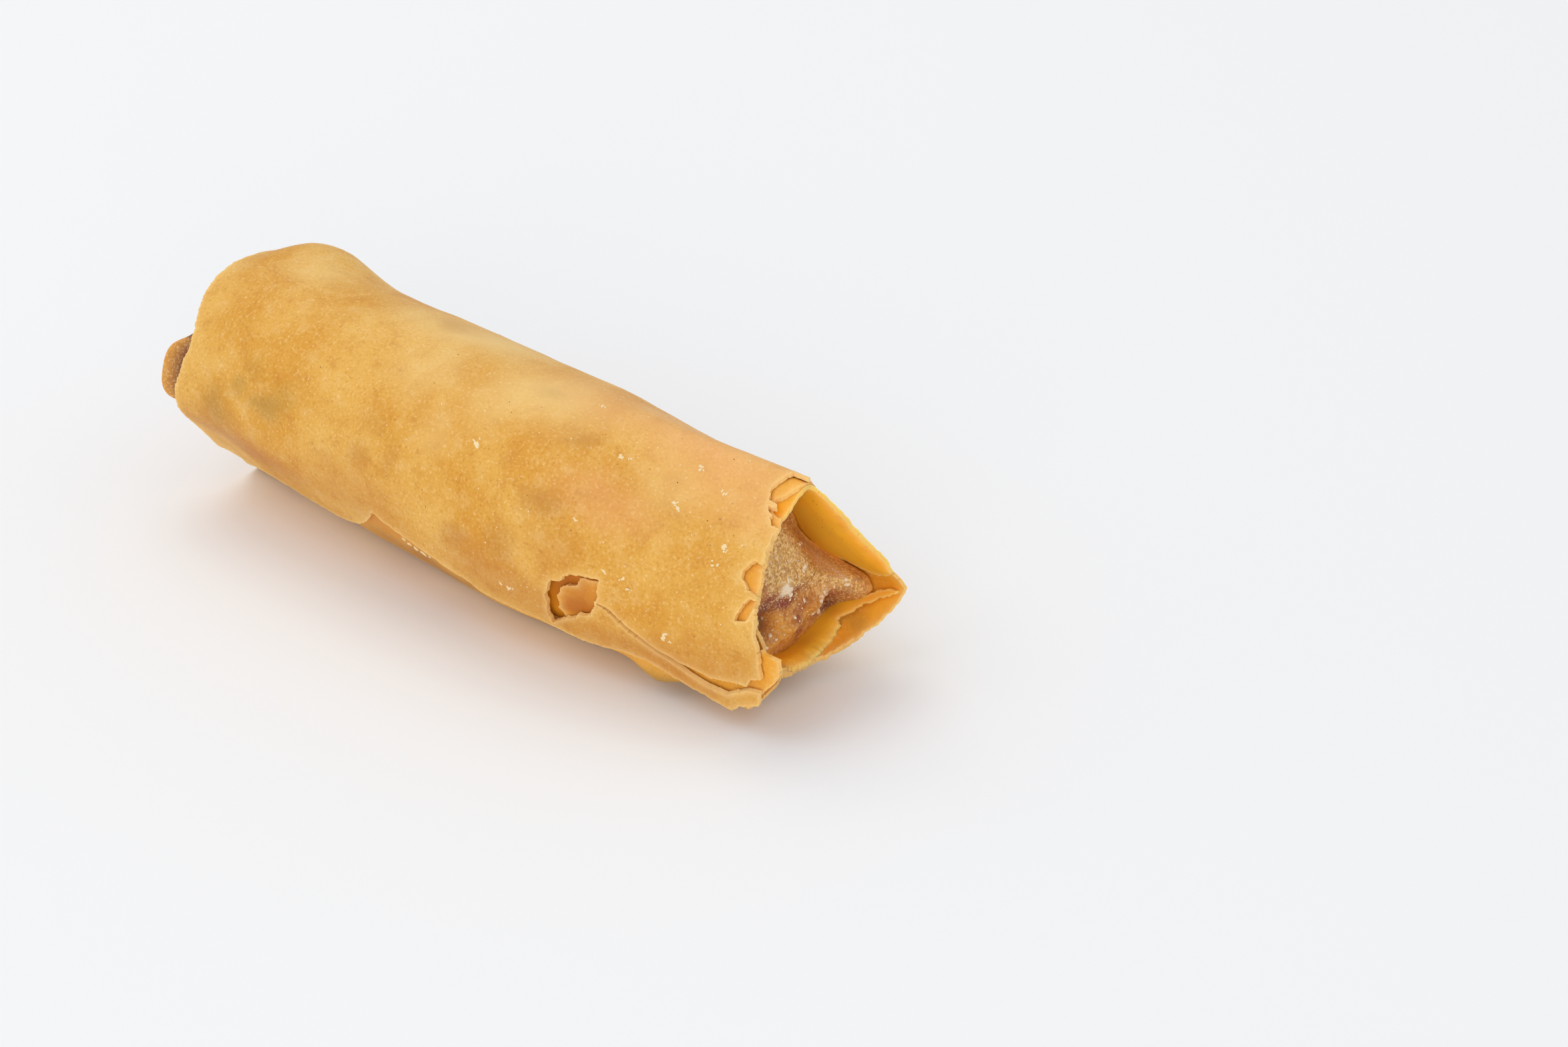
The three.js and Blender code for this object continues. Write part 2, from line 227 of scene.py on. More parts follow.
# Stains of each turn by kind, some of them painted shade or painted sheen, as (x, angle, half width along,
# half width round, strength)
OUTER_STAINS = {
    "pale": [
        (-6.6, 24, 5, 4, 0.55), (3.6, 28, 4, 3, 0.45), (9.5, 10, 7, 4.2, 0.85),
        (-3.8, -12, 6, 3.5, 0.9), (-13, -8, 7, 4, 0.7), (27.6, 26, 3.5, 3.4, 0.5),
        (-32.9, -5.5, 4, 3, 0.5), (-0.5, 50.5, 3, 2.6, 0.4), (28, -8, 14, 2.5, 0.2),
        (20, -100, 7, 4, 0.6), (-18, -70, 9, 4, 0.6),
    ],
    "browned": [
        (-11, -14, 3, 1.5, 0.5), (16.8, 21, 1.8, 0.8, 0.5), (16.4, 58.5, 2.4, 1.6, 0.6),
        (15.4, 25, 1.6, 0.7, 0.3), (11.8, 84, 2.4, 2.2, 0.45), (-10.3, 75.5, 1.8, 1.3, 0.4),
        (-5.8, 72.5, 1, 1.6, 0.3), (-16.4, 81, 1.6, 1.2, 0.3), (20, 49, 1.2, 0.7, 0.25),
        (-9.4, 59, 2, 1.5, 0.25), (5, 92, 2.2, 1.8, 0.55), (-36, 95, 5, 3, 0.5),
        (-4, -95, 4, 2.5, 0.5), (28, -60, 3, 2, 0.4),
    ],
    "olive": [
        (8.8, 8.5, 1.9, 1.2, 0.25), (-34.6, 84, 2.4, 2.2, 0.5), (-26.6, 71.5, 2.4, 1.5, 0.7),
        (-31.4, 69, 1.4, 1, 0.5), (-24, 62.5, 2.4, 1.6, 0.35), (-30, 58, 2, 1.2, 0.25),
        (-33, -110, 3, 2.5, 0.5),
    ],
    # Pinkish pale tone with a painted sheen, most along the top edge
    "pink_and_sheen": [
        (36, 5, 12, 5, 0.6), (20, -8, 14, 5, 0.6), (22, 45, 6, 3.5, 0.6), (-2, -140, 10, 5, 0.6),
    ],
    # A deeper orange tone with painted shade on the lower front and in the window, where less light falls
    "deeper_and_shaded": [
        (-12, 96, 9, 4, 0.35), (-30, 108, 8, 3, 0.5), (11, 106, 8, 4, 0.45),
        (30, 122, 12, 3.2, 0.55), (40, 104, 5, 3, 0.25), (19, 76, 4, 2.5, 0.25),
    ],
}
SECOND_MOIST = 0.45
SECOND_STAINS = {
    "olive": [(30, 143, 3.4, 2.6, 1), (40.8, -120.5, 2.4, 1.6, 0.5)],
    # Deeper tone with painted shade in the window and below the free edge
    "deeper_and_shaded": [(21.5, 97, 3, 3.5, 0.7), (20.5, 109, 3, 1.5, 0.8), (-9, 112, 6, 3, 0.5)],
    # Painted shade on the lower part of the second turn near the table
    "painted_shade": [(-3, 132, 14, 2.6, 0.6)],
    # A painted glow on the inner face of the back corner, where light comes through the thin sheet
    "painted_glow": [(43.2, -110, 2, 5, 0.7)],
}
THIRD_MOIST = 1
THIRD_STAINS = {
    "olive": [(43, 94, 1.6, 4.2, 0.9), (41.5, -118, 2, 2.4, 0.6), (37, -147, 0.7, 1.4, 0.9)],
    # Painted shade on the band seen in the window's upper left, in the shadow of the torn sheet
    "deeper_and_shaded": [(19.5, 100, 3.5, 6, 1)],
    # Painted glow on the inner face of the back lip and the corners of the open end, where light comes
    # through
    "painted_glow": [(35, -58, 5, 8.5, 1), (36.5, -92, 3, 4, 0.9), (37, -138, 3.5, 9, 0.9)],
    # Painted shade on the inner wall of the recess at the bottom corner of the open end
    "painted_shade": [(37.4, -120, 1.3, 1.2, 0.25)],
}
STAIN_RAGGED = [(5, 1.3), (1.8, 0.5)]
STAIN_EDGE = 1.5
STAIN_KINDS = ("pale", "browned", "olive", "pink_and_sheen", "deeper_and_shaded", "painted_glow", "painted_shade")

# The filled fold: the rod that it is shaped from, and how deep it lies
ROD = 10
CAP_RINGS, SIDE_ROWS, CORE_STEPS = 120, 36, 280
CORE_DEPTH = 1.75
CORE_PRESSED_BY, CORE_PRESSED_FROM, CORE_PRESSED_TO = 0.25, 32, 35

# The open face: where it stands, its rim as (angle, x), the share of the way out from which it bends
# towards that rim, and the part of the fold's length that its stains fade over
FACE_X = 37.2
FACE_RIM = [
    (-90, 34.2), (-85, 32.8), (-75, 32.3), (-55, 32.8), (-30, 33.2), (0, 33.6), (30, 35),
    (60, 36.5), (90, 37.5), (120, 37.8), (150, 37.4), (171, 37), (196, 36.6), (214, 36.1),
    (227, 36.7), (237, 38), (240, 38.5), (246, 39.3), (252, 40.3), (258, 40.9), (264, 40),
    (266, 38.7), (267, 37),
]
FACE_RIM_FROM = 0.55
STAINED_HALF = (0.5, 1)

# Swells and hollows of the open face, as (y, z, width, rise), and its grain
FACE_FORMS = [
    (2.5, 12.8, 4.4, 1.4), (7.0, 17.0, 3.6, -0.8), (12.2, 9.6, 2.4, 0.9),
    (-2.4, 8.2, 1.6, 1.3), (2.2, 6.2, 1.5, 0.7), (5.8, 7.0, 1.6, 1.0), (1.5, 9.4, 1.1, -2.0),
    (1.4, 7.6, 0.8, -1.2), (3.1, 8.6, 0.8, 0.9), (2.9, 6.8, 0.8, 0.8), (5.0, 7.4, 0.5, -0.6),
    (4.4, 9.0, 0.6, -0.6), (6.9, 8.6, 0.6, 0.5), (8.6, 8.4, 0.7, 0.6), (7.7, 8.0, 0.5, -0.5),
    (6.2, 10.6, 0.9, -0.5), (3.2, 11.0, 0.9, -0.5), (10.6, 11.0, 0.8, -0.4),
]
FACE_GRAIN = [(2.2, 0.3), (0.8, 0.16), (0.4, 0.1)]

# The dark recess past the edge of the fold's torn flap
RECESS = [
    (10.8, 9.8), (10.1, 8.6), (9.7, 7.6), (9.6, 6.9), (8.7, 6.5), (8.1, 6.0), (6.6, 5.7), (5.1, 4.8),
    (1, 2), (15, 2), (15, 8.2), (12.6, 8.9),
]
RECESS_DEEP, RECESS_AT, RECESS_WIDE, RECESS_WALL = 1.9, (10.9, 7.2), 1.7, 0.14

# The fold's face at the far end, and the lump that stands out there
FAR_FACE_X = -42.4
FAR_FORMS = [
    (3.5, 8.5, 4.5, -1.2), (-2.5, 18.5, 4.2, 2.2), (7.5, 17.5, 3.6, -0.8), (-1.5, 11.5, 2.2, 1.6),
]
LUMP = {
    "angle": 80, "half_width": 24, "sharpness": 4, "share": 0.92, "share_width": 0.3, "rise": 3.3,
    "flare": 1.0, "flare_from": -43.4, "flare_to": -45.2,
}

# The far end has painted shade in the groove beside the rim, by x and by share of the way out,
# and is golden elsewhere, most of all on the lump
GROOVE, GROOVE_SHARES = (-44.2, -43.5), (0.8, 0.95)
FAR_GOLD = (0.3, 1)

# Stains and painted shade in hollows of the fold's open face by kind, as (y, z, half width across, half
# width up, strength)
FACE_STAINS = {
    "olive": [
        (2.6, 16.5, 3.4, 3.6, 1), (5.2, 14.6, 3.2, 2.6, 1), (8.4, 13.2, 3.4, 2.0, 0.9),
        (6.0, 17.0, 3.0, 1.8, 0.7), (12.4, 11.4, 2.6, 2.2, 1), (9.6, 14.8, 2, 1.6, 0.6),
        (11.0, 13.4, 2.2, 1.8, 0.8),
    ],
    "purple": [
        (3.0, 11.0, 1.6, 0.8, 1), (1.4, 12.4, 1.1, 0.8, 0.9), (4.8, 10.3, 1.4, 0.7, 1),
        (6.2, 11.2, 1.4, 0.7, 0.8), (11.2, 8.7, 1.0, 1.0, 0.8), (0.2, 14.0, 0.8, 0.6, 0.7),
        (0.2, 11.5, 0.8, 0.8, 0.8), (7.6, 9.2, 1.2, 0.5, 0.5), (5.9, 8.0, 0.6, 0.8, 0.8),
        (7.9, 5.2, 0.7, 0.8, 0.7),
    ],
    # Painted shade in the hollows and the recess of the open face
    "painted_hollow_shade": [(0.6, 11.0, 1.0, 0.9, 1), (1.5, 8.8, 0.6, 1.5, 1), (11.4, 7.0, 1.6, 1.2, 1)],
    "gold": [
        (3.1, 9.0, 0.9, 1.1, 1), (3.4, 7.0, 1.3, 1.5, 1), (4.6, 6.6, 0.8, 1.4, 1),
        (8.6, 8.0, 1.0, 1.4, 0.8), (2.0, 5.8, 0.8, 1.0, 0.8), (5.8, 5.0, 1, 0.9, 0.8),
    ],
    "flour": [
        (3.7, 12.4, 1.3, 1.0, 1), (4.9, 11.4, 0.5, 0.7, 0.8), (9.8, 8.6, 0.4, 0.9, 0.75),
        (9.3, 6.9, 0.5, 0.5, 0.8), (3.4, 5.8, 0.9, 0.5, 0.6), (7.8, 13.1, 0.5, 0.4, 0.7),
        (10.4, 9.6, 0.4, 0.5, 0.6), (12.2, 10.4, 0.3, 0.8, 0.2), (2.0, 7.0, 0.4, 0.5, 0.6),
        (6.3, 14.8, 2.8, 1.4, 0.35), (2.6, 16.6, 2.6, 2.0, 0.3), (12.4, 11.4, 2.0, 1.5, 0.46),
        (11.2, 13.2, 2.0, 1.5, 0.4),
    ],
}
FACE_STAIN_KINDS = ("olive", "purple", "painted_hollow_shade", "gold", "flour")

# The open face is greasy gold along the back, where it meets the wrapper
GREASY = {"from_share": 0.93, "to_share": 1.0, "angle": -60, "half_width": 55, "sharpness": 4}

# White clots of flour on the open face, as (y, z, size)
FACE_CLOTS = [
    (4.3, 13.3, 0.3), (3.9, 12.9, 0.42), (3.4, 12.3, 0.4), (4.1, 12.2, 0.55), (4.8, 11.9, 0.4),
    (4.9, 11.3, 0.35), (4.6, 10.8, 0.25), (7.8, 13.2, 0.3), (7.5, 12.9, 0.22), (10.4, 9.1, 0.3),
    (12.3, 10.6, 0.28), (12.2, 10.1, 0.22), (8.1, 15.4, 0.25), (10.1, 14.1, 0.22), (2.0, 7.1, 0.26),
    (2.2, 6.7, 0.22), (5.5, 8.1, 0.24), (3.5, 6.0, 0.3), (3.9, 6.2, 0.24), (1.3, 5.9, 0.22),
    (7.4, 9.4, 0.3), (9.5, 7.3, 0.35), (9.3, 6.8, 0.3),
]

# Finer crumbs round the middle of the face, with y and z as (middle, spread)
FACE_CRUMBS = {"count": 240, "sizes": (0.05, 0.11), "y": (5, 3.2), "z": (12, 4), "margin": 0.4}

# Flour on the sheet: specks as (x, angle, size), and the flakes that each breaks into, in shares of its size
SHEET_SPECKS = [
    (14.8, 1.5, 0.35), (29, 7.8, 0.3), (29, 30.5, 0.4), (29.6, 32, 0.25), (39, 4.5, 0.3),
    (36, 38.8, 0.4), (36.5, 41, 0.22), (32, 105.5, 0.4), (32.6, 107, 0.3), (5.2, 45, 0.45),
    (37, 2, 0.25), (38, 0, 0.2), (35.8, 52, 0.3), (20.5, 60, 0.22), (21, 22, 0.35),
    (22, 20.5, 0.22), (33, 14, 0.3), (25, 78, 0.28), (27.2, 79.5, 0.26), (28, 84, 0.22),
    (12, 108, 0.35), (12.6, 109, 0.2), (-8.8, 106, 0.3), (-7.6, 108, 0.25),
]
FLAKES = {"count": 5, "spread": 0.7, "sizes": (0.25, 0.7)}

# Flour caught below the free edge
SEAM_CRUMBS = [
    (-5.9, 117, 0.3), (-5.2, 119, 0.42), (-4.3, 120.5, 0.42), (-3.2, 121.5, 0.35),
    (-2.0, 121, 0.25),
]

# Fine flour and charred specks over the outermost sheet, crowded towards the mouth
DUSTING = {"count": 440, "sizes": (0.04, 0.1), "x": (-36, 41), "crowding": 0.55}
CHARRED = {"count": 120, "sizes": (0.035, 0.075), "x": (-30, 41), "crowding": 0.6}
SPECKED_ANGLES = (-170, 116)
EDGE_MARGIN = 0.3

# Charred specks on the inner face of the back lip
LIP_CHARRED = {"count": 16, "x": (36, 40.5), "angles": (-60, -15)}

# The shape of a speck, in shares of its size: length, width, how uneven, and how thick
SPECK_LONG, SPECK_WIDE, SPECK_UNEVEN = (0.7, 1.5), (0.6, 1), (0.72, 1.2)
SPECK_THICK, CLOT_THICK = 0.35, 0.45

# The steps that find which way a surface faces, in millimetres and in degrees
SPOT_STEP = 0.1
SPOT_TURN = 1


def lerp(low, high, share):
    return low + (high - low) * share


def smoothstep(value, low, high):
    share = np.clip((value - low) / (high - low), 0, 1)
    return share * share * (3 - 2 * share)


def bump(angle, middle, half_width, sharpness=2):
    """A swelling round the roll: 1 at its middle, falling away over its half width."""
    turned = (angle - middle + 180) % 360 - 180
    return np.exp(-np.abs(turned / half_width) ** sharpness)


def grain(points, size, seed):
    """Smooth noise from -1 to 1 at points, with features of about that size."""
    shift = NOISE_SHIFT * seed
    return np.array([noise.noise(Vector(point) / size + shift) for point in points])


def layered_grain(points, layers, seed):
    """Layers of noise added up, each as (size, height)."""
    return sum(height * grain(points, size, seed + i) for i, (size, height) in enumerate(layers))


def on_rod(x, angle):
    """Points on an even rod, where noise meets itself all the way round."""
    turn = np.radians(angle)
    return np.stack([x, BODY_RADIUS * np.sin(turn), BODY_RADIUS * np.cos(turn)], axis=-1)


def body_radius(x, angle):
    """How far out the roll's body reaches, with its knuckle and its falls at the far end."""
    knuckle = KNUCKLE["rise"] * bump(angle, KNUCKLE["angle"], KNUCKLE["half_width"])
    radius = BODY_RADIUS + OVAL_BY * np.cos(2 * np.radians(angle - OVAL_ANGLE))
    radius = radius + knuckle * np.exp(-(((x - KNUCKLE["x"]) / KNUCKLE["length"]) ** 2))
    for fall in FAR_FALLS:
        past = smoothstep(-x, -fall["from_x"], -FAR_FALL_TO_X)
        away = bump(angle, fall["angle"], fall["half_width"], fall.get("sharpness", 2))
        radius = radius - fall["by"] * away * past
    return radius


def polygon_radius(angle):
    """How far out the pressed open end reaches."""
    total = 0
    for faces, out in MOUTH_SIDES:
        total = total + (np.maximum(0, np.cos(np.radians(angle - faces))) / out) ** CORNER_SHARPNESS
    swell = BACK_SWELL["by"] * bump(angle, BACK_SWELL["angle"], BACK_SWELL["half_width"])
    return total ** (-1 / CORNER_SHARPNESS) + swell


def rest_lift(x):
    """How far the underside rises past the flat that the roll rests on."""
    return np.minimum(REST_LIFT, REST_SLOPE * np.maximum(0, np.maximum(REST_FROM_X - x, x - REST_TO_X)))


def centre_at(x):
    """The middle of the roll's cross section along its length, across and up."""
    to_mouth = smoothstep(x, MOUTH_FROM, MOUTH_FULL)
    return lerp(BODY_CENTRE[0], MOUTH_CENTRE[0], to_mouth), lerp(BODY_CENTRE[1], MOUTH_CENTRE[1], to_mouth)


def radius_at(x, angle):
    """How far out the outermost face reaches: round along the body, pressed flat at the open end."""
    return lerp(body_radius(x, angle), polygon_radius(angle), smoothstep(x, MOUTH_FROM, MOUTH_FULL))


def place(x, angle, depth, share=1.0):
    """Points of the roll, at a share of the way out from its centre line to the given depth."""
    turn = np.radians(angle)
    radius = (radius_at(x, angle) - depth) * share
    middle_y, middle_z = centre_at(x)
    y = middle_y - radius * np.sin(turn)
    z = middle_z + radius * np.cos(turn)
    z = np.maximum(z, np.maximum(depth, 0)) + rest_lift(x) * bump(angle, REST_ANGLE, REST_HALF_WIDTH)
    return np.stack([x, y, z], axis=-1)


def rim_x(rim, angle):
    """Where a rim at the open end stands at some angles."""
    angles, xs = zip(*rim)
    return np.interp(angle, angles, xs, period=360)


def far_rim_x(angle):
    """Where the rim at the far end stands at some angles."""
    x, held_back = FAR_RIM
    return x + sum(by * bump(angle, middle, half_width) for by, middle, half_width in held_back)


def seam_angle(x):
    """The angle of the outer turn's free edge along the roll."""
    length = np.where(x < SEAM["x"], SEAM["length_back"], SEAM["length"])
    away = 1 - np.exp(-np.abs(x - SEAM["x"]) / length)
    notch = sum(cut["by"] * np.exp(-(((x - cut["x"]) / cut["half_width"]) ** 2)) for cut in SEAM_NOTCHES)
    return SEAM["top"] + SEAM["drop"] * away - notch


def outline_distance(points, corners):
    """How far flat points lie outside a closed outline, negative inside it."""
    nearest = np.full(len(points), np.inf)
    inside = np.zeros(len(points), bool)
    for start, end in zip(corners, np.roll(corners, -1, axis=0)):
        side = end - start
        share = np.clip((points - start) @ side / (side @ side), 0, 1)
        nearest = np.minimum(nearest, np.linalg.norm(points - start - share[:, None] * side, axis=1))
        spans = (start[1] > points[:, 1]) != (end[1] > points[:, 1])
        crossing = start[0] + side[0] * (points[:, 1] - start[1]) / (side[1] or LEVEL_RISE)
        inside ^= spans & (points[:, 0] < crossing)
    return np.where(inside, -nearest, nearest)


def edge_function(rim, far_in, tears, seed, crack=None, free_edge=False):
    """Makes the function that tells how far inside a turn's sheet flat points lie."""
    outlines = [np.array(tear) * (1, ARC) for tear in tears]

    def edge_distance(x, angle):
        inside = np.minimum(rim_x(rim, angle) - x, x - far_rim_x(angle) - far_in)
        if free_edge:
            inside = np.minimum(inside, (seam_angle(x) - angle) * ARC)
        points = np.stack([x, angle * ARC], axis=-1)
        for outline in outlines:
            inside = np.minimum(inside, outline_distance(points, outline))
        ragged = layered_grain(on_rod(x, angle), RAGGED, seed)
        inside = inside + ragged
        if crack is not None:
            beside = outline_distance(points, np.array(crack) * (1, ARC))
            inside = np.minimum(inside, beside + CRACK_RAGGED * ragged)
        return inside

    return edge_distance


def move_points(bm, moved):
    """Moves every point of a mesh to where a function puts it."""
    points = np.array([vert.co for vert in bm.verts])
    for vert, point in zip(bm.verts, moved(points)):
        vert.co = point


def flat_places(points):
    """The x and angle of points of the unrolled sheet."""
    return points[:, 0], -points[:, 1] / ARC


def unrolled_sheet(start_angle, sweep):
    """A flat grid as long as the roll: x along, and the arc from the start of the turn across."""
    bm = bmesh.new()
    bmesh.ops.create_grid(bm, x_segments=TURN_COLUMNS, y_segments=TURN_ROWS, size=1)

    def lay_out(points):
        along = 1 - ((1 - points[:, 0]) / 2) ** MOUTH_DENSITY
        turned = lerp(-SPARE_TURN, sweep, (points[:, 1] + 1) / 2)
        x = lerp(*SPARE_ENDS, along)
        angle = start_angle(x, turned) - turned
        return np.stack([x, -angle * ARC, np.zeros(len(x))], axis=-1)

    move_points(bm, lay_out)
    return bm


def refine_near_edges(bm, edge_distance):
    """Halves the cells near the sheet's edges, once for each reach."""
    for reach in REACHES:
        middles = np.array([(edge.verts[0].co + edge.verts[1].co) / 2 for edge in bm.edges])
        near = np.abs(edge_distance(*flat_places(middles))) < reach
        chosen = [edge for edge, is_near in zip(bm.edges, near) if is_near]
        bmesh.ops.subdivide_edges(bm, edges=chosen, cuts=1, use_grid_fill=True)


def cut_to_edges(bm, edge_distance):
    """Moves the points nearest to an edge onto it, and takes away what lies past it."""

    def snap(points):
        x, angle = flat_places(points)
        inside = edge_distance(x, angle)
        slope_x = (edge_distance(x + SNAP_NUDGE, angle) - inside) / SNAP_NUDGE
        slope_y = (edge_distance(x, angle - SNAP_NUDGE / ARC) - inside) / SNAP_NUDGE
        steep = np.maximum(slope_x ** 2 + slope_y ** 2, SNAP_FLATTEST)
        step = np.where(np.abs(inside) < SNAP_WITHIN, -inside / steep, 0)
        step = np.clip(step, -CELL, CELL)
        points[:, 0] += step * slope_x
        points[:, 1] += step * slope_y
        return points

    move_points(bm, snap)
    bm.faces.ensure_lookup_table()
    middles = np.array([face.calc_center_median() for face in bm.faces])
    gone = edge_distance(*flat_places(middles)) < 0
    lost = [face for face, is_gone in zip(bm.faces, gone) if is_gone]
    bmesh.ops.delete(bm, geom=lost, context="FACES")
    drop_scraps(bm)


def drop_scraps(bm):
    """Keeps only the largest connected part of a mesh."""
    left = set(bm.faces)
    parts = []
    while left:
        part = [left.pop()]
        for face in part:
            for edge in face.edges:
                for other in edge.link_faces:
                    if other in left:
                        left.discard(other)
                        part.append(other)
        parts.append(part)
    parts.sort(key=len)
    scraps = [face for part in parts[:-1] for face in part]
    bmesh.ops.delete(bm, geom=scraps, context="FACES")


def make_slab(bm):
    """Gives a flat sheet its inner face and edge walls: z is 0 on the outer face and -1 on the inner."""
    grown = bmesh.ops.extrude_face_region(bm, geom=bm.faces[:], use_keep_orig=True)
    inner = [item for item in grown["geom"] if isinstance(item, bmesh.types.BMVert)]
    bmesh.ops.translate(bm, verts=inner, vec=(0, 0, -1))
    bmesh.ops.recalc_face_normals(bm, faces=bm.faces[:])


def finish_piece(name, bm, material, node=None, attributes=None):
    """Takes a mesh to metres and the finished origin, and gives it its looks and its place in the frame."""
    bmesh.ops.translate(bm, verts=bm.verts, vec=(-MIDDLE[0], -MIDDLE[1], 0))
    bmesh.ops.scale(bm, verts=bm.verts, vec=(MM, MM, MM))
    mesh = bpy.data.meshes.new(name)
    bm.to_mesh(mesh)
    bm.free()
    mesh.shade_smooth()
    mesh.set_sharp_from_angle(angle=math.radians(SHARP_ANGLE))
    for title, values in (attributes or {}).items():
        layer = mesh.attributes.new(title, "FLOAT", "POINT")
        layer.data.foreach_set("value", np.asarray(values, np.float32))
    mesh.materials.append(material)
    piece = bpy.data.objects.new(name, mesh)
    bpy.context.scene.collection.objects.link(piece)
    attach(piece, "root")
    if node:
        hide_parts(node)
    return piece


def stain(kind, stains, u, v):
    """How strong the stains of one kind are at places (u, v), from 0 to 1."""
    total = np.zeros(len(u))
    for at_u, at_v, wide_u, wide_v, strength in stains.get(kind, []):
        total += strength * np.exp(-((u - at_u) / wide_u) ** 2 - ((v - at_v) / wide_v) ** 2)
    return np.clip(total, 0, 1)


def stain_round(kind, stains, x, angle):
    """Stains of one kind round the roll, with ragged outlines."""
    at = on_rod(x, angle)
    x = x + layered_grain(at, STAIN_RAGGED, SEEDS["stains along"])
    arc = angle * ARC + layered_grain(at, STAIN_RAGGED, SEEDS["stains round"])
    total = np.zeros(len(x))
    for at_x, at_angle, along, across, strength in stains.get(kind, []):
        turned = (arc - (at_angle - 180) * ARC) % (360 * ARC) - 180 * ARC
        away = ((x - at_x) / along) ** 2 + (turned / across) ** 2
        total += strength * np.exp(-away ** STAIN_EDGE)
    return np.clip(total, 0, 1)


def crease(x, angle, line):
    """How deep a soft crease presses at places of the sheet."""
    start = np.array(line["from"]) * (1, ARC)
    side = np.array(line["to"]) * (1, ARC) - start
    points = np.stack([x, angle * ARC], axis=-1)
    share = np.clip((points - start) @ side / (side @ side), 0, 1)
    away = np.linalg.norm(points - start - share[:, None] * side, axis=1)
    return line["depth"] * np.exp(-((away / line["width"]) ** 2))


def outer_start(x, turned):
    """The angle that the outer turn is wound from: its free edge, evening out behind it."""
    evens = smoothstep(turned, 0, SEAM["evens_out_over"])
    return lerp(seam_angle(x), SEAM["middle"], evens)


def second_start(x, turned):
    return SECOND_FROM


def third_start(x, turned):
    return THIRD_FROM


def outer_depth(x, angle, inside):
    """How deep the outer turn lies at places of its sheet; how far they lie inside its edge is not used."""
    strip_across = smoothstep(angle, STRIP["from_angle"], STRIP["to_angle"])
    strip = STRIP["lift"] * strip_across * smoothstep(x, STRIP["from_x"], STRIP["to_x"])
    return sum(crease(x, angle, line) for line in CREASES) - strip


def second_depth(x, angle, inside):
    """The second turn lies one step down, with a blister."""
    turned = ((angle - BLISTER["angle"] + 180) % 360 - 180) * ARC
    away = ((x - BLISTER["x"]) / BLISTER["along"]) ** 2 + (turned / BLISTER["across"]) ** 2
    return STEP - BLISTER["rise"] * np.exp(-away)


def third_depth(x, angle, inside):
    """The third turn lies two steps down, and peels off and curls out at the open end."""
    peel = sum(by * bump(angle, middle, half_width) for by, middle, half_width in THIRD_PEELS)
    lips = 0
    for lip in LIPS:
        near_rim = np.clip(1 - inside / lip["over"], 0, 1) ** 2
        lips = lips + lip["by"] * near_rim * bump(angle, lip["angle"], lip["half_width"], lip["sharpness"])
    at_open_end = x > 0
    return 2 * STEP + peel * smoothstep(x, PEEL_FROM, PEEL_TO) - lips * at_open_end


def make_turn(name, material, edge_distance, start_angle, sweep, depth_at, stains, curl=0, moist=0):
    """One turn of the wound sheet, as a slab that is cut flat and then laid round the roll."""
    bm = unrolled_sheet(start_angle, sweep)
    refine_near_edges(bm, edge_distance)
    cut_to_edges(bm, edge_distance)
    make_slab(bm)
    points = np.array([vert.co for vert in bm.verts])
    x, angle = flat_places(points)
    inside = np.maximum(edge_distance(x, angle), 0)
    end = start_angle(0, sweep) - sweep
    sink = SINK_BY * smoothstep(end + SINK_LEAD - angle, 0, SINK_OVER)
    lift = layered_grain(on_rod(x, angle), WAVES, SEEDS["waves"]) + curl * np.exp(-inside / CURL_OVER)
    depth = depth_at(x, angle, inside) + sink - lift - points[:, 2] * SHEET
    move_points(bm, lambda _: place(x, angle, depth))
    attributes = {kind: stain_round(kind, stains, x, angle) for kind in STAIN_KINDS}
    attributes["torn"] = np.exp(-inside / TORN_WIDTH)
    attributes["moist"] = np.full(len(x), moist)
    return finish_piece(name, bm, material, "wrapper", attributes)


def relief(forms, y, z):
    """How far swells and hollows, each as (y, z, width, rise), raise a face."""
    total = 0
    for at_y, at_z, wide, rise in forms:
        total = total + rise * np.exp(-((y - at_y) ** 2 + (z - at_z) ** 2) / wide ** 2)
    return total


def core_depth(x):
    """How deep the fold lies, a little less where it is pressed against the mouth."""
    return CORE_DEPTH - CORE_PRESSED_BY * smoothstep(x, CORE_PRESSED_FROM, CORE_PRESSED_TO)


def near_face_x(y, z, angle, share):
    """How far out the fold's open face stands over places of its plane."""
    away = outline_distance(np.stack([y, z], axis=-1), np.array(RECESS))
    dip = RECESS_DEEP * np.exp(-((y - RECESS_AT[0]) ** 2 + (z - RECESS_AT[1]) ** 2) / RECESS_WIDE ** 2)
    flat = np.stack([0 * y, y, z], axis=-1)
    rough = layered_grain(flat, FACE_GRAIN, SEEDS["open face"])
    face = FACE_X + relief(FACE_FORMS, y, z)
    face = lerp(face, rim_x(FACE_RIM, angle), smoothstep(share, FACE_RIM_FROM, 1))
    return face - dip * smoothstep(-away, -RECESS_WALL, RECESS_WALL) + rough


def even_rod():
    """A rod with many rings in its end faces, where x is the share of the way to the open end."""
    bm = bmesh.new()
    shares = np.linspace(0, 1, CAP_RINGS + 1)
    profile = [(ROD * share, 0) for share in shares]
    profile += [(ROD, along) for along in np.linspace(0, 1, SIDE_ROWS + 1)[1:-1]]
    profile += [(ROD * share, 1) for share in shares[::-1]]
    verts = [bm.verts.new((along, 0, out)) for out, along in profile]
    edges = [bm.edges.new(pair) for pair in zip(verts, verts[1:])]
    bmesh.ops.spin(
        bm, geom=verts + edges, cent=(0, 0, 0), axis=(1, 0, 0), angle=2 * math.pi,
        steps=CORE_STEPS, use_merge=True,
    )
    bmesh.ops.remove_doubles(bm, verts=bm.verts, dist=MERGE_WITHIN)
    bmesh.ops.recalc_face_normals(bm, faces=bm.faces)
    return bm


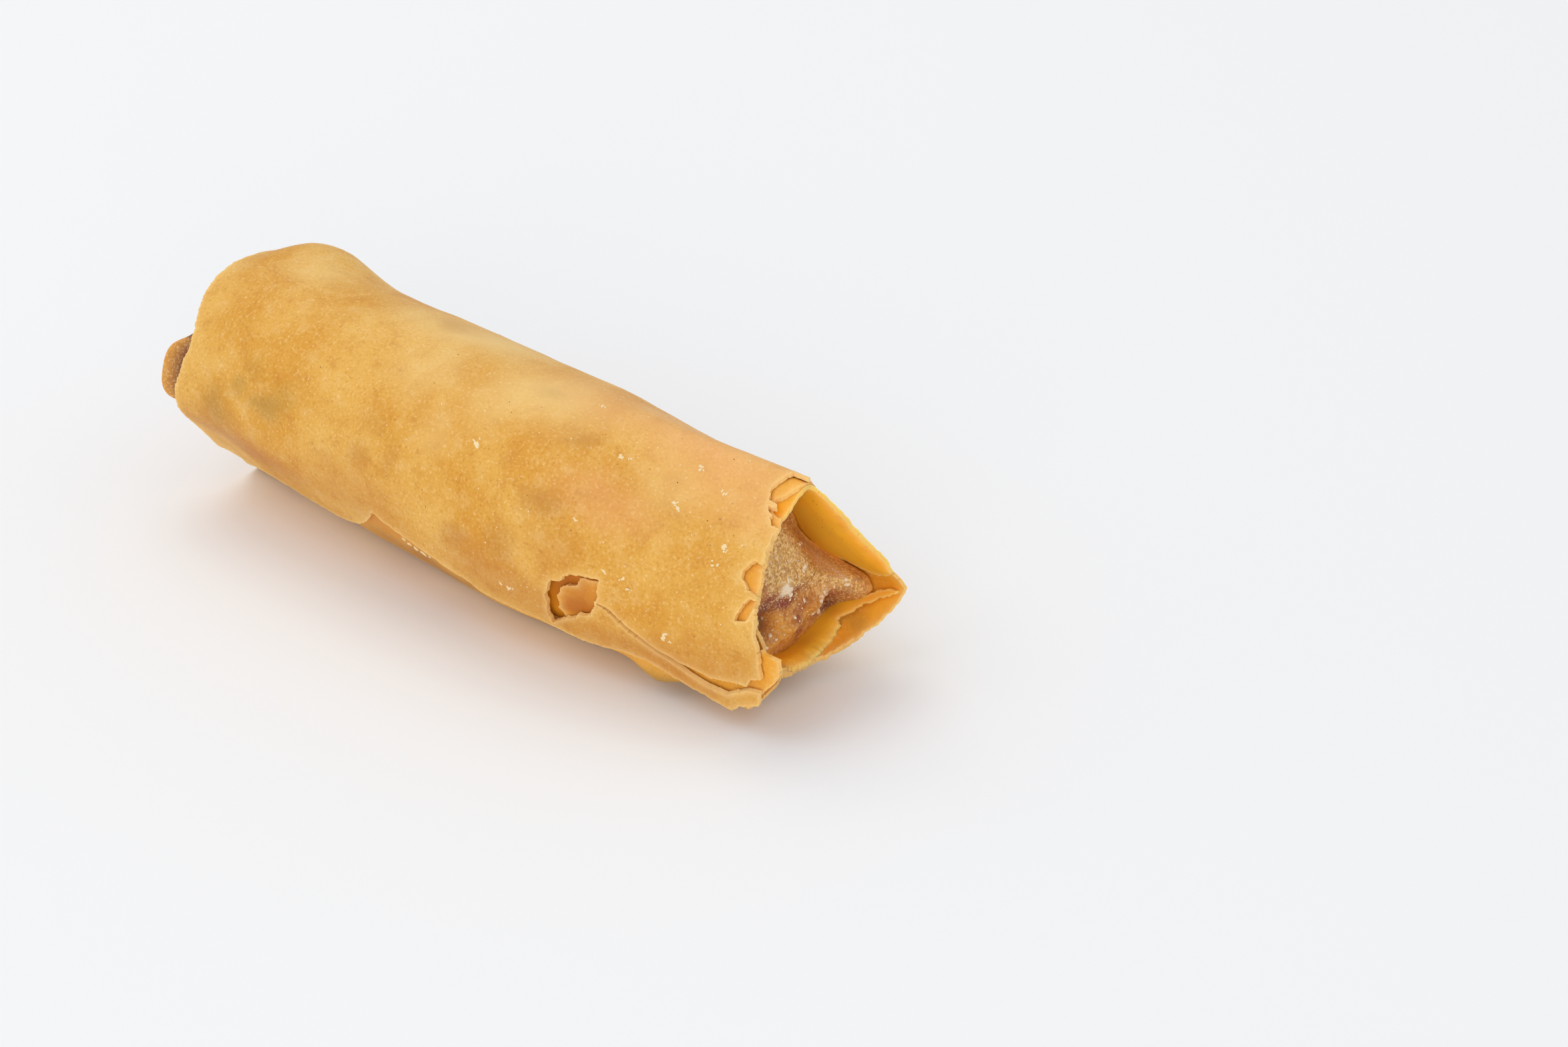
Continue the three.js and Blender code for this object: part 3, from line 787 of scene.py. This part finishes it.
def make_filled_fold(material):
    """The filled fold, shaped from an even rod: its open face, its side and the lump at the far end."""
    bm = even_rod()
    points = np.array([vert.co for vert in bm.verts])
    along = points[:, 0]
    share = np.hypot(points[:, 1], points[:, 2]) / ROD
    angle = np.degrees(np.arctan2(-points[:, 1], points[:, 2]))

    at_near = place(np.full(len(share), FACE_X), angle, core_depth(FACE_X), share)
    near_x = near_face_x(at_near[:, 1], at_near[:, 2], angle, share)
    at_far = place(np.full(len(share), FAR_FACE_X), angle, CORE_DEPTH, share)
    across = np.exp(-(((share - LUMP["share"]) / LUMP["share_width"]) ** 2))
    at_lump = bump(angle, LUMP["angle"], LUMP["half_width"], LUMP["sharpness"])
    lump = LUMP["rise"] * at_lump * across
    far_x = FAR_FACE_X - lump + relief(FAR_FORMS, at_far[:, 1], at_far[:, 2])
    x = lerp(far_x, near_x, along)
    flare = LUMP["flare"] * at_lump * smoothstep(-x, -LUMP["flare_from"], -LUMP["flare_to"])
    lift = layered_grain(on_rod(x, angle), WAVES, SEEDS["waves"])
    move_points(bm, lambda _: place(x, angle, core_depth(x) - flare - lift, share))

    # The open face's stains and painted hollow shade fade out half way along, and the far end has painted
    # shade in its groove and gold of its own
    at_mouth = smoothstep(along, *STAINED_HALF)
    attributes = {
        kind: at_mouth * stain(kind, FACE_STAINS, at_near[:, 1], at_near[:, 2])
        for kind in FACE_STAIN_KINDS
    }
    beside_rim = (1 - at_mouth) * smoothstep(x, *GROOVE) * smoothstep(share, *GROOVE_SHARES)
    attributes["painted_hollow_shade"] = np.maximum(attributes["painted_hollow_shade"], beside_rim)
    far_gold = lerp(*FAR_GOLD, lump / LUMP["rise"])
    attributes["gold"] = np.maximum(attributes["gold"], (1 - at_mouth) * far_gold)
    near_wall = smoothstep(share, GREASY["from_share"], GREASY["to_share"])
    near_back = bump(angle, GREASY["angle"], GREASY["half_width"], GREASY["sharpness"])
    attributes["greasy"] = near_wall * near_back
    return finish_piece("filled_fold", bm, material, "filling", attributes)


def face_point(y, z):
    """The point of the fold's open face over one place of its plane."""
    middle_y, middle_z = centre_at(FACE_X)
    angle = np.array([math.degrees(math.atan2(middle_y - y, z - middle_z))])
    out = math.hypot(y - middle_y, z - middle_z)
    share = out / (radius_at(FACE_X, angle) - core_depth(FACE_X))
    x = near_face_x(np.array([y]), np.array([z]), angle, share)
    return place(x, angle, core_depth(x), share)[0]


def sheet_point(x, angle, depth):
    """The point of the wound sheet at one place and depth."""
    at_x, at_angle = np.array([x]), np.array([angle])
    lift = layered_grain(on_rod(at_x, at_angle), WAVES, SEEDS["waves"])
    return place(at_x, at_angle, depth - lift)[0]


def spot_on(point_at, u, v, step_v):
    """A point of a surface and its outward direction, from two small steps along the surface."""
    at = Vector(point_at(u, v))
    along = Vector(point_at(u + SPOT_STEP, v)) - at
    across = Vector(point_at(u, v + step_v)) - at
    return at, along.cross(across).normalized()


def sheet_spot(x, angle, depth):
    """A point of the wound sheet, and the direction outwards from it."""
    return spot_on(partial(sheet_point, depth=depth), x, angle, SPOT_TURN)


def on_outer_turn(x, angle):
    """Whether a speck there would lie well inside the outer turn's edges."""
    return outer_edge(np.array([float(x)]), np.array([float(angle)]))[0] > EDGE_MARGIN


def make_specks(name, material, spots, rng, thick=SPECK_THICK):
    """Small lumps pressed onto a surface, each from (point, outward direction, size)."""
    bm = bmesh.new()
    for point, outward, size in spots:
        facing = outward.to_track_quat("Z", "Y").to_matrix().to_4x4()
        spun = Matrix.Rotation(rng.uniform(0, 2 * math.pi), 4, "Z")
        length, width = size * rng.uniform(*SPECK_LONG), size * rng.uniform(*SPECK_WIDE)
        shape = Matrix.Diagonal((length, width, size * thick, 1))
        matrix = Matrix.Translation(point) @ facing @ spun @ shape
        made = bmesh.ops.create_icosphere(bm, subdivisions=2, radius=1, matrix=matrix)
        for vert in made["verts"]:
            vert.co = point + (vert.co - point) * rng.uniform(*SPECK_UNEVEN)
    return finish_piece(name, bm, material)


def dusting_spots(rng):
    """Flour on the outermost sheet, thicker towards the mouth, and crumbs below its free edge."""
    flakes = []
    for x, angle, size in SHEET_SPECKS:
        for _ in range(FLAKES["count"]):
            spread = size * FLAKES["spread"]
            off_x, off_arc = rng.gauss(0, spread), rng.gauss(0, spread)
            flakes.append((x + off_x, angle + off_arc / ARC, size * rng.uniform(*FLAKES["sizes"])))
    for _ in range(DUSTING["count"]):
        x = lerp(*DUSTING["x"], rng.random() ** DUSTING["crowding"])
        flakes.append((x, rng.uniform(*SPECKED_ANGLES), rng.uniform(*DUSTING["sizes"])))
    found = [(*sheet_spot(x, angle, 0), size) for x, angle, size in flakes if on_outer_turn(x, angle)]
    return found + [(*sheet_spot(x, angle, STEP), size) for x, angle, size in SEAM_CRUMBS]


def charred_spots(rng):
    """Tiny dark specks on the outermost sheet and on the inner face of the back lip."""
    spots = []
    for _ in range(CHARRED["count"]):
        x = lerp(*CHARRED["x"], rng.random() ** CHARRED["crowding"])
        angle = rng.uniform(*SPECKED_ANGLES)
        if on_outer_turn(x, angle):
            spots.append((*sheet_spot(x, angle, 0), rng.uniform(*CHARRED["sizes"])))
    for _ in range(LIP_CHARRED["count"]):
        x, angle = rng.uniform(*LIP_CHARRED["x"]), rng.uniform(*LIP_CHARRED["angles"])
        spots.append((*sheet_spot(x, angle, 2 * STEP + SHEET), rng.uniform(*CHARRED["sizes"])))
    return spots


def clot_spots(rng):
    """Flour on the fold's open face: clots in their places, and finer crumbs inside its rim."""
    clots = list(FACE_CLOTS)
    middle_y, middle_z = MOUTH_CENTRE
    for _ in range(FACE_CRUMBS["count"]):
        y, z = rng.gauss(*FACE_CRUMBS["y"]), rng.gauss(*FACE_CRUMBS["z"])
        angle = math.degrees(math.atan2(middle_y - y, z - middle_z))
        reach = float(radius_at(FACE_X, angle)) - CORE_DEPTH - FACE_CRUMBS["margin"]
        if math.hypot(y - middle_y, z - middle_z) < reach:
            clots.append((y, z, rng.uniform(*FACE_CRUMBS["sizes"])))
    return [(*spot_on(face_point, y, z, SPOT_STEP), size) for y, z, size in clots]


def linear(hex_colour):
    """An sRGB hex colour as linear RGBA."""
    channels = [int(hex_colour[i:i + 2], 16) / 255 for i in (1, 3, 5)]
    levels = [
        level / 12.92 if level <= 0.04045 else ((level + 0.055) / 1.055) ** 2.4
        for level in channels
    ]
    return (*levels, 1)


# The colour Mix node's sockets, which share their names with others of the node
MIX_SHARE, MIX_UNDER, MIX_OVER = 0, 6, 7
MIX_RESULT = 2


def add(tree, kind, values=None, links=None, **settings):
    """Adds a node with its settings, its values and its links, both by socket."""
    node = tree.nodes.new(kind)
    for key, value in settings.items():
        setattr(node, key, value)
    for key, value in (values or {}).items():
        node.inputs[key].default_value = value
    for key, source in (links or {}).items():
        tree.links.new(source, node.inputs[key])
    return node


def start_material(name):
    """A new material with no nodes in it yet."""
    material = bpy.data.materials.new(name)
    material.use_nodes = True
    material.node_tree.nodes.clear()
    return material, material.node_tree


def per_metre(size_mm):
    """The noise scale that gives features of this size."""
    return 1 / (size_mm * MM)


def tinted_ground(tree, ground, tints):
    """A ground colour with tints laid over it in turn.

    Each tint is (colour, strength, pattern, start, full): it begins where its pattern's socket
    reaches start, and has its strength where the pattern reaches full.
    """
    under = None
    for tint, strength, pattern, start, full in tints:
        share = add(
            tree, "ShaderNodeMapRange", links={"Value": pattern},
            values={"From Min": start, "From Max": full, "To Max": strength},
        )
        mix = add(
            tree, "ShaderNodeMix", data_type="RGBA", links={MIX_SHARE: share.outputs[0]},
            values={MIX_UNDER: linear(ground), MIX_OVER: linear(tint)},
        )
        if under is not None:
            tree.links.new(under, mix.inputs[MIX_UNDER])
        under = mix.outputs[MIX_RESULT]
    return under


def fried_wheat_sheet(name, see_through, depth_mm, specular):
    """Thin wheat sheet, deep fried: golden, mottled, slightly waxy, lit a little way inside, and with a
    painted glow where light comes through.
    """
    material, tree = start_material(name)
    place_at = add(tree, "ShaderNodeTexCoord").outputs["Object"]
    # Broad patches where the dough took more or less colour, smaller clouds, and pores with starch grain
    noises = {
        title: add(
            tree, "ShaderNodeTexNoise", links={"Vector": place_at},
            values={"Scale": per_metre(size_mm), "Detail": detail, "Roughness": roughness},
        ).outputs[0]
        for title, size_mm, detail, roughness in (
            ("broad", 9, 3, 0.5), ("cloudy", 2.5, 4, 0.6), ("fine", 0.35, 4, 0.65),
        )
    }
    stains = {
        kind: add(tree, "ShaderNodeAttribute", attribute_name=kind).outputs["Fac"]
        for kind in ("moist", "torn", *STAIN_KINDS)
    }
    ground = tinted_ground(tree, "#da9b36", [
        # Paler and deeper gold, then dark pores and light starch
        ("#e6b154", 1, noises["broad"], 0.35, 0.65),
        ("#c98228", 0.5, noises["cloudy"], 0.52, 0.75),
        ("#edc47c", 0.4, noises["cloudy"], 0.47, 0.3),
        ("#b2671b", 0.45, noises["fine"], 0.55, 0.72),
        ("#fbdc9c", 0.5, noises["fine"], 0.45, 0.28),
        # Stains and painted light and shade, from the moist inner face to the pale line of a torn edge
        ("#ffac1c", 0.9, stains["moist"], 0, 1),
        ("#f2cd84", 0.7, stains["pale"], 0, 1),
        # Pinkish pale, partly a painted sheen along the top edge
        ("#f0b278", 0.6, stains["pink_and_sheen"], 0, 1),
        ("#a9662e", 0.55, stains["browned"], 0, 1),
        ("#a08345", 0.65, stains["olive"], 0, 1),
        # Deeper orange with painted shade, on the lower front and in the window
        ("#b4601a", 0.8, stains["deeper_and_shaded"], 0, 1),
        # Painted glow, where light comes through the thin lip
        ("#ffba34", 0.9, stains["painted_glow"], 0, 1),
        # Painted shade, dark brown, on shaded parts of the inner turns
        ("#74421f", 0.9, stains["painted_shade"], 0, 1),
        ("#ffdc95", 0.45, stains["torn"], 0, 1),
    ])
    # Soft dents about 0.1 mm deep, and pores about half of that
    dents = add(
        tree, "ShaderNodeBump", links={"Height": noises["cloudy"]},
        values={"Strength": 0.35, "Distance": 0.25 * MM},
    ).outputs[0]
    pores = add(
        tree, "ShaderNodeBump", links={"Height": noises["fine"], "Normal": dents},
        values={"Strength": 0.5, "Distance": 0.08 * MM},
    ).outputs[0]
    shader = add(
        tree, "ShaderNodeBsdfPrincipled", links={"Base Color": ground, "Normal": pores},
        values={
            "Roughness": 0.5, "Specular IOR Level": specular, "Subsurface Weight": see_through,
            "Subsurface Scale": depth_mm * MM, "Subsurface Radius": (1.0, 0.85, 0.5),
        },
    )
    add(tree, "ShaderNodeOutputMaterial", links={"Surface": shader.outputs[0]})
    return material


def stained_fold():
    """The inner fold, soaked by its filling: grainy and matt, olive gold to red brown."""
    material, tree = start_material("inner fold stained by its filling")
    place_at = add(tree, "ShaderNodeTexCoord").outputs["Object"]
    # Grains of starch and pepper, and patches where the filling soaked in more or less
    grains, patches = [
        add(
            tree, "ShaderNodeTexNoise", links={"Vector": place_at},
            values={"Scale": per_metre(size_mm), "Detail": detail, "Roughness": roughness},
        ).outputs[0]
        for size_mm, detail, roughness in ((0.3, 4, 0.7), (1.6, 3, 0.6))
    ]
    stains = {
        kind: add(tree, "ShaderNodeAttribute", attribute_name=kind).outputs["Fac"]
        for kind in ("greasy", *FACE_STAIN_KINDS)
    }
    # Dark and light grains show most where the fold is driest, on its olive dome
    dryness = add(
        tree, "ShaderNodeMapRange", links={"Value": stains["olive"]},
        values={"From Max": 0.8, "To Min": 0.35},
    ).outputs[0]
    crystals = []
    for start, full in ((0.52, 0.62), (0.48, 0.38)):
        shown = add(
            tree, "ShaderNodeMapRange", links={"Value": grains},
            values={"From Min": start, "From Max": full},
        ).outputs[0]
        dried = add(tree, "ShaderNodeMath", operation="MULTIPLY", links={0: shown, 1: dryness})
        crystals.append(dried.outputs[0])
    # Flour clings in ragged patches: the grain is added to its strength before that is cut off
    broken = add(
        tree, "ShaderNodeMath", operation="MULTIPLY_ADD", values={1: 2.4},
        links={0: grains, 2: stains["flour"]},
    ).outputs[0]
    ground = tinted_ground(tree, "#c0762f", [
        ("#dd9d4c", 1, patches, 0.38, 0.62),
        ("#e0b265", 0.9, stains["olive"], 0, 1),
        ("#eaa53c", 0.9, stains["gold"], 0, 1),
        ("#8a2c18", 0.95, stains["purple"], 0, 1),
        # Painted shade, dark red brown, in the fold's hollows and in the groove at the far end
        ("#6e2c0e", 0.95, stains["painted_hollow_shade"], 0, 1),
        ("#85511a", 0.75, crystals[0], 0, 1),
        ("#fde6ae", 0.85, crystals[1], 0, 1),
        ("#f4b04a", 0.85, stains["greasy"], 0, 1),
        ("#f7ead8", 0.9, broken, 1.75, 1.95),
    ])
    # The grains stand about a tenth of a millimetre high
    rough = add(
        tree, "ShaderNodeBump", values={"Strength": 0.8, "Distance": 0.15 * MM}, links={"Height": grains},
    ).outputs[0]
    shader = add(
        tree, "ShaderNodeBsdfPrincipled", links={"Base Color": ground, "Normal": rough},
        values={
            "Roughness": 0.55, "Subsurface Weight": 0.1, "Subsurface Scale": 0.4 * MM,
            "Subsurface Radius": (1.0, 0.5, 0.25),
        },
    )
    add(tree, "ShaderNodeOutputMaterial", links={"Surface": shader.outputs[0]})
    return material


def plain_matt(name, hex_colour, roughness, specular=0.3):
    """A dry, even surface: flour, charred dough or the board."""
    material, tree = start_material(name)
    shader = add(
        tree, "ShaderNodeBsdfPrincipled",
        values={"Base Color": linear(hex_colour), "Roughness": roughness, "Specular IOR Level": specular},
    )
    add(tree, "ShaderNodeOutputMaterial", links={"Surface": shader.outputs[0]})
    return material


# The view: the camera's heading and drop, its distance, the point at the middle of the picture, its lens
VIEW_AZIMUTH, VIEW_ELEVATION, VIEW_DISTANCE = 43.6, 28, 500
LOOK_AT = (11.8, 31.4, 0)
LENS, SENSOR = 100, 36

# The floor, in metres from its middle to its edge
FLOOR_REACH = 10

# The light, in metres and watts: a pale surround, and broad lamps, warm ones high behind on the left
# and low on the right, and a cool one high in front
SURROUND = 0.66
SURROUND_COLOUR = (0.96, 0.995, 1.06)
WARM, COOL = (1.07, 1.0, 0.88), (0.94, 1.0, 1.1)
LAMPS = [
    {"name": "key", "at": (-0.5, 0.25, 1.0), "size": 0.8, "power": 2.8, "colour": WARM},
    {"name": "fill", "at": (0.75, -0.85, 0.18), "size": 0.9, "power": 4.9, "colour": WARM},
    {"name": "front", "at": (-0.3, -0.75, 1.1), "size": 0.9, "power": 3.0, "colour": COOL},
]


def make_camera():
    """The camera, at the photograph's viewing angle."""
    data = bpy.data.cameras.new("camera")
    data.lens = LENS
    data.sensor_width = SENSOR
    heading, drop = math.radians(VIEW_AZIMUTH), math.radians(VIEW_ELEVATION)
    level = math.cos(drop)
    ahead = Vector((-math.sin(heading) * level, math.cos(heading) * level, -math.sin(drop)))
    look = Vector([at - middle for at, middle in zip(LOOK_AT, (*MIDDLE, 0))])
    camera = bpy.data.objects.new("camera", data)
    camera.location = (look - ahead * VIEW_DISTANCE) * MM
    camera.rotation_euler = ahead.to_track_quat("-Z", "Y").to_euler()
    bpy.context.scene.collection.objects.link(camera)
    bpy.context.scene.camera = camera


def make_floor():
    """The plain pale floor, a matt board that shows a soft shadow and no gloss."""
    bm = bmesh.new()
    bmesh.ops.create_grid(bm, x_segments=1, y_segments=1, size=FLOOR_REACH)
    mesh = bpy.data.meshes.new("floor")
    bm.to_mesh(mesh)
    bm.free()
    mesh.materials.append(plain_matt("pale matt board", "#f6f6f5", 0.8, 0.2))
    floor = bpy.data.objects.new("floor", mesh)
    bpy.context.scene.collection.objects.link(floor)


def make_light():
    """The surround and the lamps, each facing the roll."""
    world = bpy.data.worlds.new("studio")
    world.use_nodes = True
    background = world.node_tree.nodes["Background"]
    background.inputs["Color"].default_value = (*SURROUND_COLOUR, 1)
    background.inputs["Strength"].default_value = SURROUND
    bpy.context.scene.world = world
    for plan in LAMPS:
        data = bpy.data.lights.new(plan["name"], "AREA")
        data.energy = plan["power"]
        data.size = plan["size"]
        data.color = plan["colour"]
        lamp = bpy.data.objects.new(plan["name"], data)
        lamp.location = plan["at"]
        lamp.rotation_euler = (-Vector(plan["at"])).to_track_quat("-Z", "Y").to_euler()
        bpy.context.scene.collection.objects.link(lamp)


bpy.context.scene.view_settings.view_transform = "Standard"
make_camera()
make_floor()
make_light()

outer_edge = edge_function(OUTER_RIM, 0, OUTER_TEARS, SEEDS["outer edge"], CRACK, free_edge=True)
second_edge = edge_function(SECOND_RIM, SECOND_FAR_IN, SECOND_TEARS, SEEDS["second edge"])
third_edge = edge_function(THIRD_RIM, THIRD_FAR_IN, THIRD_TEARS, SEEDS["third edge"])

# The inner turn is moist, so more light passes through it
sheet_finish = fried_wheat_sheet("deep fried wheat sheet", see_through=0.3, depth_mm=0.3, specular=0.22)
moist_finish = fried_wheat_sheet(
    "deep fried wheat sheet, moist inside", see_through=0.8, depth_mm=0.7, specular=0.2,
)
make_turn(
    "outer_turn", sheet_finish, outer_edge, outer_start, OUTER_SWEEP, outer_depth,
    OUTER_STAINS, curl=CURL_BY,
)
make_turn(
    "second_turn", sheet_finish, second_edge, second_start, SECOND_SWEEP, second_depth,
    SECOND_STAINS, moist=SECOND_MOIST,
)
make_turn(
    "third_turn", moist_finish, third_edge, third_start, THIRD_SWEEP, third_depth,
    THIRD_STAINS, moist=THIRD_MOIST,
)
make_filled_fold(stained_fold())

# Dry flour looks white, flour fried into the sheet is creamy with oil, and charred dough is a dull brown
draw = random.Random(7)
clinging_flour = plain_matt("dry white flour", "#f1dfc0", 0.9)
oiled_flour = plain_matt("white flour fried into the sheet", "#f3d9a8", 0.7)
char = plain_matt("charred dough speck", "#7a4a1c", 0.6)
make_specks("flour_dust", oiled_flour, dusting_spots(draw), draw)
make_specks("charred_specks", char, charred_spots(draw), draw)
make_specks("flour_clots", clinging_flour, clot_spots(draw), draw, CLOT_THICK)
